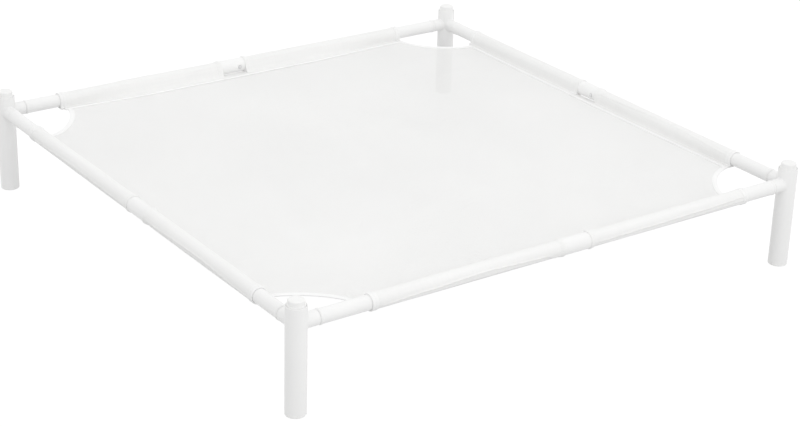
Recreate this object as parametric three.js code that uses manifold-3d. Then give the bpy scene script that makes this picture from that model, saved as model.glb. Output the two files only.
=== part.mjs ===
// Raised square dog bed: four round posts, four two-piece tube rails joined by
// snap-button couplers, and a mesh sling whose sewn sleeves wrap the rails.
// Millimetres, +Z up. Origin: middle of the footprint, on the floor.
// +X runs along the front rail towards the front-right post, +Y runs to the back.
import * as THREE from 'three';
import { mergeVertices } from 'three/addons/utils/BufferGeometryUtils.js';
import Module from 'manifold-3d';

const wasm = await Module();
wasm.setup();

// ---------------------------------------------------------------- dimensions
const POST_PITCH = 885;          // centre to centre of neighbouring posts
const POST_OD = 30;              // post tube, outside
const POST_WALL = 1.5;
const POST_TOP = 161;            // rim of the post tube above the floor
const FOOT_FLANGE = 5;           // foot plug's visible thickness
const FOOT_SPIGOT = 20;          // how far the foot plug reaches up the tube
const TOTAL_H = 170;             // top of the cap
const CAP_D = 23.5;              // cap knob
const CAP_SHOULDER = 0.9;        // shallow step at the base of the knob
const CAP_SPIGOT = 16;           // how far the cap reaches down the tube

const RAIL_Z = 135;              // height of the rail axes
const RAIL_OD = 21.6;            // rail tube and post stub, outside
const RAIL_WALL = 1.4;
const STUB_END = 31.5;           // end of the post's stub, from the post axis
const SPIGOT_OD = 18.3;          // swaged end that plugs into the rail
const SPIGOT_LEN = 30;
const GAP = 0.3;                 // clearance between separate pieces
const BEAD_R = 0.6;              // rolled bead on a rail's open end stands this proud
const BEAD_W = 4.4;

const COUPLER_OD = 24.6;
const COUPLER_ID = 22.2;
const COUPLER_MOUTH = 438.5;     // along the rail from the first post axis
const COUPLER_END = 489.5;
const RAIL_BUTT = 464.0;         // where the two half-rails face each other

const BUTTON_S = 451.5;          // snap button, along the rail
const BUTTON_R = 3.1;
const BUTTON_HOLE_R = 3.45;
const BUTTON_TOP = 14.0;         // dome top, from the rail axis
const BUTTON_FLANGE_R = 4.2;
const BUTTON_BASE = 6.2;         // underside of the button's flange

const SLEEVE_START = 117;        // first sleeve end, from the first post axis
const SLEEVE_STOP = POST_PITCH - 97; // last sleeve end
const SLEEVE_GAP_A = 435.5;      // the sleeves stop either side of the coupler
const SLEEVE_GAP_B = 492.5;
const SLEEVE_T = 0.8;            // cloth round the rail
const SEAM = 17;                 // sewn line, inward of the rail axis
const FLANK_DEG = 22;            // the loop leaves the rail this far below its inner side

const SLING_T = 2.0;             // sling's plain solid, thickness
const CORNER_R = 108;            // concave corner cut, about the post axis
const TAPE_W = 6.0;              // binding tape on the corner cut
const TAPE_T = 2.8;

const ROUND = 20;                // facets on a tube
const HALF = POST_PITCH / 2;
const rail_ro = RAIL_OD / 2;
const rail_ri = rail_ro - RAIL_WALL;
const sleeve_ro = rail_ro + GAP + SLEEVE_T;
const SLING_Z = RAIL_Z - sleeve_ro + SLING_T / 2;   // the sling lies level with the underside of the sleeves

// ---------------------------------------------------------------- materials
const mat = (colour, roughness, metalness = 0) =>
  new THREE.MeshStandardMaterial({ color: colour, roughness, metalness });
const finish = {
  tube: () => mat(0xf2f2f0, 0.42, 0.0),
  plastic: () => mat(0xf0f0ee, 0.5, 0.0),
  steel: () => mat(0x9a9a98, 0.35, 1.0),
  button: () => mat(0x8f9092, 0.38, 1.0),
  mesh: () => mat(0xf4f4f3, 0.85, 0.0),
  tape: () => mat(0xfafafa, 0.8, 0.0),
};

// ---------------------------------------------------------------- helpers
function signedVolume(g) {
  const p = g.getAttribute('position');
  const ix = g.getIndex();
  let v = 0;
  for (let i = 0; i < ix.count; i += 3) {
    const [a, b, c] = [ix.getX(i), ix.getX(i + 1), ix.getX(i + 2)];
    v += p.getX(a) * (p.getY(b) * p.getZ(c) - p.getZ(b) * p.getY(c))
       - p.getY(a) * (p.getX(b) * p.getZ(c) - p.getZ(b) * p.getX(c))
       + p.getZ(a) * (p.getX(b) * p.getY(c) - p.getY(b) * p.getX(c));
  }
  return v / 6;
}

// Shared vertices, faces pointing out, no slivers left at the axis.
function closed(geometry) {
  const g = geometry.clone();
  g.deleteAttribute('normal');
  g.deleteAttribute('uv');
  const m = mergeVertices(g, 1e-4);
  const ix = m.getIndex().array;
  const keep = [];
  for (let i = 0; i < ix.length; i += 3) {
    const [a, b, c] = [ix[i], ix[i + 1], ix[i + 2]];
    if (a !== b && b !== c && a !== c) keep.push(a, b, c);
  }
  m.setIndex(keep);
  if (signedVolume(m) < 0) {
    for (let i = 0; i < keep.length; i += 3) [keep[i], keep[i + 1]] = [keep[i + 1], keep[i]];
    m.setIndex(keep);
  }
  return m;
}

function solid(geometry) {
  const g = closed(geometry);
  return new wasm.Manifold(new wasm.Mesh({
    numProp: 3,
    vertProperties: new Float32Array(g.getAttribute('position').array),
    triVerts: new Uint32Array(g.getIndex().array),
  }));
}

function geometryOf(manifold) {
  const m = manifold.getMesh();
  const g = new THREE.BufferGeometry();
  g.setAttribute('position', new THREE.BufferAttribute(new Float32Array(m.vertProperties), 3));
  g.setIndex(Array.from(m.triVerts));
  g.computeVertexNormals();
  return g;
}

// A turned body about +Z; profile is a list of [radius, z] that closes on itself
// or starts and ends on the axis.
function turned(profile, segments = ROUND) {
  const pts = profile.map(([r, z]) => new THREE.Vector2(r, z));
  const first = profile[0], last = profile[profile.length - 1];
  if (first[0] > 1e-6 || last[0] > 1e-6) pts.push(new THREE.Vector2(first[0], first[1]));
  const g = new THREE.LatheGeometry(pts, segments);
  g.rotateX(Math.PI / 2);          // lathe axis Y becomes Z
  return closed(g);
}
const tube = (ro, ri, z0, z1, n = ROUND) => turned([[ri, z0], [ro, z0], [ro, z1], [ri, z1]], n);
const rod = (r, z0, z1, n = ROUND) => turned([[0, z0], [r, z0], [r, z1], [0, z1]], n);
const alongX = (g) => g.clone().rotateY(Math.PI / 2);    // +Z becomes +X
const alongY = (g) => g.clone().rotateX(-Math.PI / 2);   // +Z becomes +Y

function mesh(name, geometry, material) {
  const g = geometry.clone();
  if (!g.getAttribute('normal')) g.computeVertexNormals();
  const m = new THREE.Mesh(g, material);
  m.name = name;
  return m;
}

// ---------------------------------------------------------------- post
// Tube with two stubs at right angles; each stub ends in a swaged spigot that
// the rail slides over. Modelled with the post axis on Z and the stubs on +X, +Y.
function postGeometry() {
  const ro = POST_OD / 2;
  const outer = solid(rod(ro, FOOT_FLANGE + GAP, POST_TOP, 24));
  const stub = turned([
    [0, 0], [rail_ro, 0], [rail_ro, STUB_END - 0.8], [rail_ro - 0.8, STUB_END],
    [SPIGOT_OD / 2, STUB_END], [SPIGOT_OD / 2, STUB_END + SPIGOT_LEN - 1.5],
    [SPIGOT_OD / 2 - 1, STUB_END + SPIGOT_LEN], [0, STUB_END + SPIGOT_LEN],
  ]);
  const bore = rod(SPIGOT_OD / 2 - 1.5, 4, STUB_END + SPIGOT_LEN + 5, 14);
  const lift = (g) => g.translate(0, 0, RAIL_Z);
  let body = outer
    .add(solid(lift(alongX(stub))))
    .add(solid(lift(alongY(stub))));
  body = body.subtract(solid(rod(ro - POST_WALL, -5, POST_TOP + 5, 20)));
  body = body.subtract(solid(lift(alongX(bore)))).subtract(solid(lift(alongY(bore))));
  return geometryOf(body);
}

const capGeometry = () => {
  const r = CAP_D / 2, rs = POST_OD / 2 - POST_WALL - GAP;
  return turned([
    [0, POST_TOP - CAP_SPIGOT], [rs - 1, POST_TOP - CAP_SPIGOT], [rs, POST_TOP - CAP_SPIGOT + 2],
    [rs, POST_TOP + CAP_SHOULDER - 0.5], [rs - 0.5, POST_TOP + CAP_SHOULDER],
    [r, POST_TOP + CAP_SHOULDER], [r, TOTAL_H - 2.2], [r - 0.7, TOTAL_H - 0.7],
    [r - 2.2, TOTAL_H], [0, TOTAL_H],
  ], 20);
};

const footGeometry = () => {
  const r = POST_OD / 2, rs = POST_OD / 2 - POST_WALL - GAP;
  return turned([
    [0, 0], [r - 2.2, 0], [r - 0.6, 0.7], [r, 2.2], [r, FOOT_FLANGE],
    [rs, FOOT_FLANGE], [rs, FOOT_SPIGOT - 2], [rs - 1, FOOT_SPIGOT], [0, FOOT_SPIGOT],
  ], 24);
};

// ---------------------------------------------------------------- rails
// Built along +X from the first post axis (x = 0), rail axis on y = 0, z = 0,
// bed centre on the +Y side.
const END_FACE = STUB_END + GAP;
const hole = (r, y0, y1) => alongY(rod(r, y0, y1, 12)).translate(BUTTON_S, 0, 0);

function beadedTube(openEnd, innerEnd) {
  const d = Math.sign(innerEnd - openEnd);
  const b = rail_ro + BEAD_R;
  const at = (s) => openEnd + d * s;
  return alongX(turned([
    [rail_ri, at(0)], [rail_ro - 0.4, at(0)], [rail_ro, at(0.4)],
    [rail_ro, at(0.8)], [b, at(1.3)], [b, at(BEAD_W - 0.5)], [rail_ro, at(BEAD_W)],
    [rail_ro, innerEnd], [rail_ri, innerEnd],
  ]));
}

function plainHalf() {
  const body = solid(beadedTube(END_FACE, RAIL_BUTT - GAP));
  return geometryOf(body.subtract(solid(hole(BUTTON_HOLE_R, 4, 20))));
}
const socketHalf = () => beadedTube(POST_PITCH - END_FACE, RAIL_BUTT + GAP);

function couplerGeometry() {
  const ro = COUPLER_OD / 2, ri = COUPLER_ID / 2;
  const body = solid(alongX(turned([
    [ri, COUPLER_MOUTH], [ro - 0.5, COUPLER_MOUTH], [ro, COUPLER_MOUTH + 0.5],
    [ro, COUPLER_END - 0.5], [ro - 0.5, COUPLER_END], [ri, COUPLER_END],
  ], 24)));
  return geometryOf(body.subtract(solid(hole(BUTTON_HOLE_R, 4, 20))));
}

const buttonGeometry = () => {
  return alongY(turned([
    [0, BUTTON_BASE], [BUTTON_FLANGE_R, BUTTON_BASE], [BUTTON_FLANGE_R, BUTTON_BASE + 1.7],
    [BUTTON_R, BUTTON_BASE + 1.7], [BUTTON_R, BUTTON_TOP - 1.7],
    [BUTTON_R * 0.82, BUTTON_TOP - 0.75], [BUTTON_R * 0.48, BUTTON_TOP - 0.15], [0, BUTTON_TOP],
  ], 12)).translate(BUTTON_S, 0, 0);
};

// V-shaped leaf spring inside the plain half: one leg lies on the far wall, the
// other carries the button on its free end.
function springGeometry() {
  const t = 0.7, w = 6;
  const x1 = BUTTON_S + 5, x0 = BUTTON_S - 34;
  const yl = -7.2, yu = BUTTON_BASE - GAP - t;
  const s = new THREE.Shape();
  s.moveTo(x1, yl);
  s.lineTo(x0, yl);
  s.absarc(x0, yl + 1.6, 1.6, -Math.PI / 2, Math.PI / 2, true);
  s.lineTo(BUTTON_S - 5, yu);
  s.lineTo(x1, yu);
  s.lineTo(x1, yu + t);
  s.lineTo(BUTTON_S - 5.2, yu + t);
  s.lineTo(x0, yl + 3.2 + t);
  s.absarc(x0, yl + 1.6, 1.6 + t, Math.PI / 2, -Math.PI / 2, false);
  s.lineTo(x1, yl - t);
  s.closePath();
  const g = new THREE.ExtrudeGeometry(s, { depth: w, bevelEnabled: false, curveSegments: 5 });
  return closed(g.translate(0, 0, -w / 2));
}

// ---------------------------------------------------------------- sling
// A sleeve is a loop of mesh: under the rail, up its outer side, over the top and
// down the inner side to the sewn line, where it meets the sling.
function sleeveGeometry(s0, s1) {
  const ri = rail_ro + GAP, ro = sleeve_ro;
  const outline = [];
  const a0 = -FLANK_DEG * Math.PI / 180, a1 = 3 * Math.PI / 2;
  const n = 18;
  for (let i = 0; i <= n; i++) {
    const a = a0 + (a1 - a0) * (i / n);
    outline.push([Math.cos(a) * ro, Math.sin(a) * ro]);
  }
  outline.push([SEAM, -ro], [SEAM, -ro + SLING_T]);
  // shape plane: first coordinate inward (+Y), second coordinate up (+Z)
  const shape = new THREE.Shape(outline.map(([y, z]) => new THREE.Vector2(y, z)));
  const inner = new THREE.Path();
  inner.absarc(0, 0, ri, 0, Math.PI * 2, true);
  shape.holes.push(inner);
  const g = new THREE.ExtrudeGeometry(shape, { depth: s1 - s0, bevelEnabled: false, curveSegments: 9 });
  // extrude axis Z becomes X, shape X becomes Y, shape Y becomes Z
  const m = new THREE.Matrix4().makeBasis(
    new THREE.Vector3(0, 1, 0), new THREE.Vector3(0, 0, 1), new THREE.Vector3(1, 0, 0));
  g.applyMatrix4(m);
  g.translate(s0, 0, 0);
  return closed(g);
}

// Corner cut: the arc about a post axis, from the sewn line of the side that
// starts at the post to the sewn line of the side that ends there.
function arcPoints(radius, clearance, n) {
  const off = SEAM + GAP + clearance;
  const a0 = Math.asin(off / radius), a1 = Math.PI / 2 - a0;
  return Array.from({ length: n + 1 }, (_, i) => {
    const a = a0 + (a1 - a0) * (i / n);
    return [Math.cos(a) * radius, Math.sin(a) * radius];
  });
}

function slingGeometry() {
  const r = CORNER_R + TAPE_W + GAP;
  const quarter = arcPoints(r, 0, 14);          // from the +X side round to the +Y side
  const pts = [];
  for (let k = 0; k < 4; k++) {
    const c = Math.cos(k * Math.PI / 2), s = Math.sin(k * Math.PI / 2);
    for (const [u, v] of [...quarter].reverse()) {
      const x = -HALF + u, y = -HALF + v;
      pts.push(new THREE.Vector2(c * x - s * y, s * x + c * y));
    }
  }
  const shape = new THREE.Shape(pts);
  const g = new THREE.ExtrudeGeometry(shape, { depth: SLING_T, bevelEnabled: false });
  return closed(g.translate(0, 0, SLING_Z - SLING_T / 2));
}

function bindingGeometry() {
  const inner = arcPoints(CORNER_R, 0, 14);
  const outer = arcPoints(CORNER_R + TAPE_W, 0, 14);
  const pts = [...inner, ...[...outer].reverse()].map(([u, v]) => new THREE.Vector2(u - HALF, v - HALF));
  const g = new THREE.ExtrudeGeometry(new THREE.Shape(pts), { depth: TAPE_T, bevelEnabled: false });
  return closed(g.translate(0, 0, SLING_Z - TAPE_T / 2));
}

// ---------------------------------------------------------------- assembly
const bed = new THREE.Group();
const corners = ['front_left', 'front_right', 'back_right', 'back_left'];
const sides = ['front', 'right', 'back', 'left'];

const post = postGeometry(), cap = capGeometry(), foot = footGeometry();
const binding = bindingGeometry();
const halfA = plainHalf(), halfB = socketHalf(), coupler = couplerGeometry();
const button = buttonGeometry(), spring = springGeometry();
const sleeveA = sleeveGeometry(SLEEVE_START, SLEEVE_GAP_A);
const sleeveB = sleeveGeometry(SLEEVE_GAP_B, SLEEVE_STOP);

for (let k = 0; k < 4; k++) {
  const quarter = new THREE.Group();
  quarter.rotation.z = k * Math.PI / 2;

  const corner = new THREE.Group();
  corner.position.set(-HALF, -HALF, 0);
  corner.add(mesh(`post_${corners[k]}`, post, finish.tube()));
  corner.add(mesh(`post_cap_${corners[k]}`, cap, finish.plastic()));
  corner.add(mesh(`foot_plug_${corners[k]}`, foot, finish.plastic()));
  quarter.add(corner);

  const side = new THREE.Group();
  side.position.set(-HALF, -HALF, RAIL_Z);
  side.add(mesh(`rail_${sides[k]}_plain_half`, halfA, finish.tube()));
  side.add(mesh(`rail_${sides[k]}_socket_half`, halfB, finish.tube()));
  side.add(mesh(`coupler_${sides[k]}`, coupler, finish.tube()));
  side.add(mesh(`snap_button_${sides[k]}`, button, finish.button()));
  side.add(mesh(`button_spring_${sides[k]}`, spring, finish.steel()));
  side.add(mesh(`sleeve_${sides[k]}_a`, sleeveA, finish.mesh()));
  side.add(mesh(`sleeve_${sides[k]}_b`, sleeveB, finish.mesh()));
  quarter.add(side);

  quarter.add(mesh(`corner_binding_${corners[k]}`, binding, finish.tape()));
  bed.add(quarter);
}
bed.add(mesh('sling_panel', slingGeometry(), finish.mesh()));

export default bed;
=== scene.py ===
import math

import bpy
import bmesh
import numpy as np
from mathutils import Matrix, Vector, noise
from mathutils.geometry import delaunay_2d_cdt


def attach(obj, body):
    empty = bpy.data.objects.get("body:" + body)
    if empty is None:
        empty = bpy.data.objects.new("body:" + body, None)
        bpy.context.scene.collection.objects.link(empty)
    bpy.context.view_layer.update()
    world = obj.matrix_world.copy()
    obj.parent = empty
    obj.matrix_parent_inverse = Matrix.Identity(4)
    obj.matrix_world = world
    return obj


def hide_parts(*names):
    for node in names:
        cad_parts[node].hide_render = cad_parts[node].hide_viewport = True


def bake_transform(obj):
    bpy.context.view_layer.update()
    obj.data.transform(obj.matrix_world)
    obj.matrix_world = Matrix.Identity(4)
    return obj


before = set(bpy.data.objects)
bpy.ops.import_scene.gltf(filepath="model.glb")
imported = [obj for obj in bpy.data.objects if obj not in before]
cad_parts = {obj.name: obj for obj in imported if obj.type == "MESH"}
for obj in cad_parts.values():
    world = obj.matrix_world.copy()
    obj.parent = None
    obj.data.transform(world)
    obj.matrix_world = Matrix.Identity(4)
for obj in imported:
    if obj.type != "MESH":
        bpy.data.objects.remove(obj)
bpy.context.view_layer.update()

# ------------------------------------------------------------------ dimensions, in millimetres
MM = 0.001
PITCH = 885.0
HALF = PITCH / 2
POST_R, POST_RI, POST_TOP = 15.0, 13.5, 161.0
FOOT_H = 5.0
TOTAL_H = 170.0
CAP_R = 11.75
RAIL_Z, RAIL_R, RAIL_RI = 135.0, 10.8, 9.4
STUB_END = 31.5
SPIGOT_R, SPIGOT_RI, SPIGOT_END = 9.15, 7.65, 61.5
RAIL_START = 31.8
BUTT = 464.0
COUP_A, COUP_B, COUP_R, COUP_RI = 438.5, 489.5, 12.3, 11.1
BTN_S, HOLE_R = 451.5, 3.45
SLEEVES = ((117.0, 441.0), (487.0, 788.0))
CLOTH_T = 0.55                      # cloth thickness
LOOP_R = 11.42                      # middle of the cloth round the rail
HEM_TOP = -10.28                    # middle of the hem's top layer, from the rail axis
PANEL_W = -10.92                    # middle of the sling panel, from the rail axis
PANEL_EDGE = 11.6                   # the panel's cut edge, inward of the rail axis
LIP = 4.0                           # half the hem's width
LOOSE = (0.55, 0.90, 0.95, 0.55)    # how far each side's loop stands away from the rail towards its seam
CORNERS = ("front_left", "front_right", "back_right", "back_left")
SIDES = ("front", "right", "back", "left")


def side_matrix(k):
    """Side k: x along the rail from its first post, y inward, z up from the rail axis."""
    return Matrix.Rotation(k * math.pi / 2, 4, "Z") @ Matrix.Translation((-HALF, -HALF, RAIL_Z))


def corner_matrix(k):
    return Matrix.Rotation(k * math.pi / 2, 4, "Z") @ Matrix.Translation((-HALF, -HALF, 0))


# ------------------------------------------------------------------ camera
def look():
    yaw, pitch, roll = math.radians(54.401), math.radians(23.996), math.radians(1.737)
    fwd = Vector((math.cos(pitch) * math.cos(yaw), math.cos(pitch) * math.sin(yaw), -math.sin(pitch)))
    right = Vector((math.sin(yaw), -math.cos(yaw), 0))
    up = right.cross(fwd)
    r2 = right * math.cos(roll) + up * math.sin(roll)
    u2 = up * math.cos(roll) - right * math.sin(roll)
    m = Matrix((
        (r2.x, u2.x, -fwd.x, -40.514 * 0.03 - 0.4425),
        (r2.y, u2.y, -fwd.y, -64.025 * 0.03 - 0.4425),
        (r2.z, u2.z, -fwd.z, 43.473 * 0.03),
        (0, 0, 0, 1)))
    cam = bpy.data.cameras.new("camera")
    cam.sensor_width = 36
    cam.lens = 1973.0 * 36 / 800
    cam.clip_end = 50
    ob = bpy.data.objects.new("camera", cam)
    bpy.context.scene.collection.objects.link(ob)
    ob.matrix_world = m
    bpy.context.scene.camera = ob
    return right, up, fwd


RIGHT, UP, FWD = look()


# ------------------------------------------------------------------ materials
class Nodes:
    def __init__(self, name):
        self.mat = bpy.data.materials.new(name)
        self.mat.use_nodes = True
        self.t = self.mat.node_tree
        self.t.nodes.clear()
        self.out = self.t.nodes.new("ShaderNodeOutputMaterial")
        self.bsdf = self.t.nodes.new("ShaderNodeBsdfPrincipled")
        self.t.links.new(self.bsdf.outputs[0], self.out.inputs[0])

    def node(self, kind, **settings):
        n = self.t.nodes.new(kind)
        for k, v in settings.items():
            setattr(n, k, v)
        return n

    def put(self, a, b):
        if isinstance(a, (int, float, tuple)):
            b.default_value = a
        else:
            self.t.links.new(a, b)

    def math(self, op, a, b=None, c=None, clamp=False):
        n = self.node("ShaderNodeMath", operation=op, use_clamp=clamp)
        for i, x in enumerate((a, b, c)):
            if x is not None:
                self.put(x, n.inputs[i])
        return n.outputs[0]

    def coords(self, kind="Object"):
        return self.node("ShaderNodeTexCoord").outputs[kind]

    def noise(self, vec, scale, detail=2.0, rough=0.5, stretch=None):
        if stretch:
            m = self.node("ShaderNodeMapping")
            m.inputs["Scale"].default_value = stretch
            self.put(vec, m.inputs["Vector"])
            vec = m.outputs[0]
        n = self.node("ShaderNodeTexNoise")
        self.put(vec, n.inputs["Vector"])
        n.inputs["Scale"].default_value = scale
        n.inputs["Detail"].default_value = detail
        n.inputs["Roughness"].default_value = rough
        return n.outputs["Fac"]

    def ramp(self, fac, stops):
        n = self.node("ShaderNodeValToRGB")
        e = n.color_ramp.elements
        while len(e) < len(stops):
            e.new(0.5)
        for el, (pos, col) in zip(e, stops):
            el.position = pos
            el.color = (*col, 1) if len(col) == 3 else col
        self.put(fac, n.inputs[0])
        return n.outputs[0]

    def span(self, fac, lo, hi, a=0.0, b=1.0):
        n = self.node("ShaderNodeMapRange")
        n.clamp = True
        self.put(fac, n.inputs[0])
        for i, v in enumerate((a, b, lo, hi)):
            n.inputs[i + 1].default_value = v
        return n.outputs[0]

    def mix(self, fac, a, b, mode="MIX"):
        n = self.node("ShaderNodeMix", data_type="RGBA", blend_type=mode)
        self.put(fac, n.inputs[0])
        self.put(a, n.inputs[6])
        self.put(b, n.inputs[7])
        return n.outputs[2]

    def bump(self, height, distance, strength=1.0, under=None):
        n = self.node("ShaderNodeBump")
        n.inputs["Strength"].default_value = strength
        n.inputs["Distance"].default_value = distance
        self.put(height, n.inputs["Height"])
        if under is not None:
            self.put(under, n.inputs["Normal"])
        return n.outputs[0]

    def set(self, **values):
        names = {"color": "Base Color", "rough": "Roughness", "metal": "Metallic", "normal": "Normal",
                 "coat": "Coat Weight", "coat_rough": "Coat Roughness", "sheen": "Sheen Weight",
                 "sheen_rough": "Sheen Roughness", "spec": "Specular IOR Level", "sub": "Subsurface Weight",
                 "aniso": "Anisotropic"}
        for k, v in values.items():
            self.put(v, self.bsdf.inputs[names[k]])
        return self

    def weave(self, vec, pitch, yarn, third=None):
        """Plain weave. Returns (1 on a yarn and 0 in a hole, height of the yarns, which system is on top)."""
        sep = self.node("ShaderNodeSeparateXYZ")
        self.put(vec, sep.inputs[0])
        u = self.math("MULTIPLY", sep.outputs[0], 1 / pitch)
        v = self.math("MULTIPLY", sep.outputs[1], 1 / pitch)

        def across(x):               # 0 at the middle of a yarn, 1 half way to the next
            f = self.math("FRACT", x)
            f = self.math("SUBTRACT", f, 0.5)
            f = self.math("ABSOLUTE", f)
            return self.math("MULTIPLY", f, 2.0)

        du, dv = across(u), across(v)
        on_u = self.span(du, 1.0, 0.0, yarn - 0.10, yarn + 0.10)
        on_v = self.span(dv, 1.0, 0.0, yarn - 0.10, yarn + 0.10)
        mask = self.math("MAXIMUM", on_u, on_v)
        su = self.math("SINE", self.math("MULTIPLY", u, math.pi))
        sv = self.math("SINE", self.math("MULTIPLY", v, math.pi))
        over = self.math("MULTIPLY", su, sv)

        def crown(d):
            q = self.math("DIVIDE", d, yarn)
            q = self.math("POWER", q, 2.0)
            return self.math("SUBTRACT", 1.0, q, clamp=True)

        hu = self.math("MULTIPLY", crown(du), self.math("MULTIPLY_ADD", over, 0.35, 0.65))
        hv = self.math("MULTIPLY", crown(dv), self.math("MULTIPLY_ADD", over, -0.35, 0.65))
        return mask, self.math("MAXIMUM", hu, hv), over


def powder_coat(name, light=0.86, rough=(0.34, 0.46), peel=0.000035):
    m = Nodes(name)
    co = m.coords()
    big = m.noise(co, 9.0, 3)
    mid = m.noise(co, 70.0, 3)
    fine = m.noise(co, 1100.0, 2)
    grit = m.noise(co, 4200.0, 1)
    base = m.ramp(big, [(0.3, (light - 0.018, light - 0.018, light - 0.022)), (0.7, (light + 0.012, light + 0.012, light + 0.008))])
    speck = m.span(grit, 0.0, 1.0, 0.66, 0.80)
    base = m.mix(m.math("MULTIPLY", speck, 0.05), base, (0.62, 0.62, 0.60, 1))
    worn = m.math("MULTIPLY", m.span(m.node("ShaderNodeNewGeometry").outputs["Pointiness"], 0.0, 1.0, 0.56, 0.68), m.span(mid, 0.0, 0.5, 0.42, 0.62))
    base = m.mix(worn, base, (light * 0.86, light * 0.86, light * 0.85, 1))
    r = m.span(mid, rough[0], rough[1], 0.3, 0.7)
    r = m.math("MULTIPLY_ADD", worn, 0.12, r)
    n = m.bump(fine, peel, 0.55)
    n = m.bump(grit, peel * 0.3, 0.4, n)
    m.set(color=base, rough=r, normal=n, spec=0.5, coat=0.12, coat_rough=0.25)
    return m.mat


def moulded_plastic(name, light=0.865):
    m = Nodes(name)
    co = m.coords()
    big = m.noise(co, 22.0, 2)
    vdi = m.noise(co, 2600.0, 2)
    flow = m.noise(co, 60.0, 3, stretch=(1, 1, 0.25))
    base = m.ramp(big, [(0.3, (light - 0.02, light - 0.02, light - 0.026)), (0.7, (light + 0.01, light + 0.01, light + 0.004))])
    worn = m.span(m.node("ShaderNodeNewGeometry").outputs["Pointiness"], 0.0, 0.6, 0.55, 0.70)
    base = m.mix(worn, base, (light + 0.05, light + 0.05, light + 0.045, 1))
    r = m.span(flow, 0.42, 0.55, 0.3, 0.7)
    n = m.bump(vdi, 0.00003, 0.5)
    m.set(color=base, rough=r, normal=n, spec=0.45, sub=0.04)
    m.bsdf.inputs["Subsurface Radius"].default_value = (0.002, 0.002, 0.0018)
    return m.mat


def metal(name, tone, rough, scratch=(1, 1, 1)):
    m = Nodes(name)
    co = m.coords()
    big = m.noise(co, 160.0, 3)
    lines = m.noise(co, 1800.0, 3, stretch=scratch)
    base = m.ramp(big, [(0.3, (tone * 0.90, tone * 0.90, tone * 0.91)), (0.7, (tone * 1.08, tone * 1.08, tone * 1.09))])
    worn = m.span(m.node("ShaderNodeNewGeometry").outputs["Pointiness"], 0.0, 0.5, 0.54, 0.70)
    base = m.mix(worn, base, (min(1, tone * 1.35),) * 3 + (1,))
    r = m.span(lines, rough - 0.06, rough + 0.10, 0.3, 0.7)
    n = m.bump(lines, 0.00002, 0.5)
    m.set(color=base, rough=r, metal=1.0, normal=n)
    return m.mat


PITCH_WEAVE = 0.00190


def cloth_colour(m, co, mask, height, light):
    big = m.noise(co, 6.0, 3)
    streak = m.noise(co, 260.0, 2, stretch=(1, 0.03, 1))
    streak2 = m.noise(co, 260.0, 2, stretch=(0.03, 1, 1))
    lo = (light - 0.018, light - 0.018, light - 0.026)
    hi = (light + 0.014, light + 0.014, light + 0.006)
    base = m.ramp(big, [(0.3, lo), (0.7, hi)])
    s = m.math("ADD", m.span(streak, -0.5, 0.5, 0.3, 0.7), m.span(streak2, -0.5, 0.5, 0.3, 0.7))
    base = m.mix(m.math("MULTIPLY_ADD", s, 0.11, 0.07, clamp=True), base, (0.74, 0.74, 0.735, 1))
    # painted shade: the low parts between the yarns are darkened in the colour
    painted_weave_shade = m.span(height, 0.20, 0.0, 0.0, 0.75)
    return m.mix(painted_weave_shade, base, (0.74, 0.74, 0.735, 1))


def mesh_cloth(name, coords, see_through, light, relief):
    m = Nodes(name)
    if coords == "uv":
        co = m.node("ShaderNodeUVMap", uv_map="flat").outputs[0]
    else:
        co = m.coords()
    mask, height, over = m.weave(co, PITCH_WEAVE, 0.51)
    fibre = m.noise(co, 5200.0, 2)
    base = cloth_colour(m, co, mask, height, light)
    if not see_through:              # the holes are painted darker: painted shade for the rail and inner cloth layers seen through them
        base = m.mix(m.math("SUBTRACT", 1.0, mask, clamp=True), base, (0.84, 0.84, 0.835, 1))
    n = m.bump(height, 0.00026, relief)
    n = m.bump(fibre, 0.00002, 0.4, n)
    r = m.span(fibre, 0.60, 0.78, 0.3, 0.7)
    m.set(color=base, rough=r, normal=n, sheen=0.12, sheen_rough=0.45, spec=0.35)
    if see_through:
        clear = m.node("ShaderNodeBsdfTransparent")
        mix = m.node("ShaderNodeMixShader")
        m.put(mask, mix.inputs[0])
        m.put(clear.outputs[0], mix.inputs[1])
        m.put(m.bsdf.outputs[0], mix.inputs[2])
        m.t.links.new(mix.outputs[0], m.out.inputs[0])
    return m.mat


def tape(name, light=0.86):
    """Woven binding tape: fine ribs along it and a twill line across."""
    m = Nodes(name)
    co = m.node("ShaderNodeUVMap", uv_map="flat").outputs[0]
    sep = m.node("ShaderNodeSeparateXYZ")
    m.put(co, sep.inputs[0])
    rib = m.math("SINE", m.math("MULTIPLY", sep.outputs[0], 2 * math.pi / 0.00085))
    tw = m.math("ADD", m.math("MULTIPLY", sep.outputs[0], 2 * math.pi / 0.0017), m.math("MULTIPLY", sep.outputs[1], 2 * math.pi / 0.0011))
    tw = m.math("SINE", tw)
    h = m.math("MULTIPLY_ADD", rib, 0.3, m.math("MULTIPLY", tw, 0.2))
    h = m.math("ADD", h, 0.5)
    fuzz = m.noise(co, 4200.0, 2)
    big = m.noise(co, 30.0, 2)
    base = m.ramp(big, [(0.3, (light - 0.02,) * 3), (0.7, (light + 0.012, light + 0.012, light + 0.008))])
    # painted shade: darker where the ribs and twill lines are low
    base = m.mix(m.span(h, 0.16, 0.0, 0.0, 0.6), base, (0.76, 0.76, 0.755, 1))
    n = m.bump(h, 0.00012, 0.6)
    n = m.bump(fuzz, 0.00003, 0.4, n)
    m.set(color=base, rough=m.span(fuzz, 0.72, 0.88, 0.3, 0.7), normal=n, sheen=0.25, sheen_rough=0.4, spec=0.3)
    return m.mat


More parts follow.
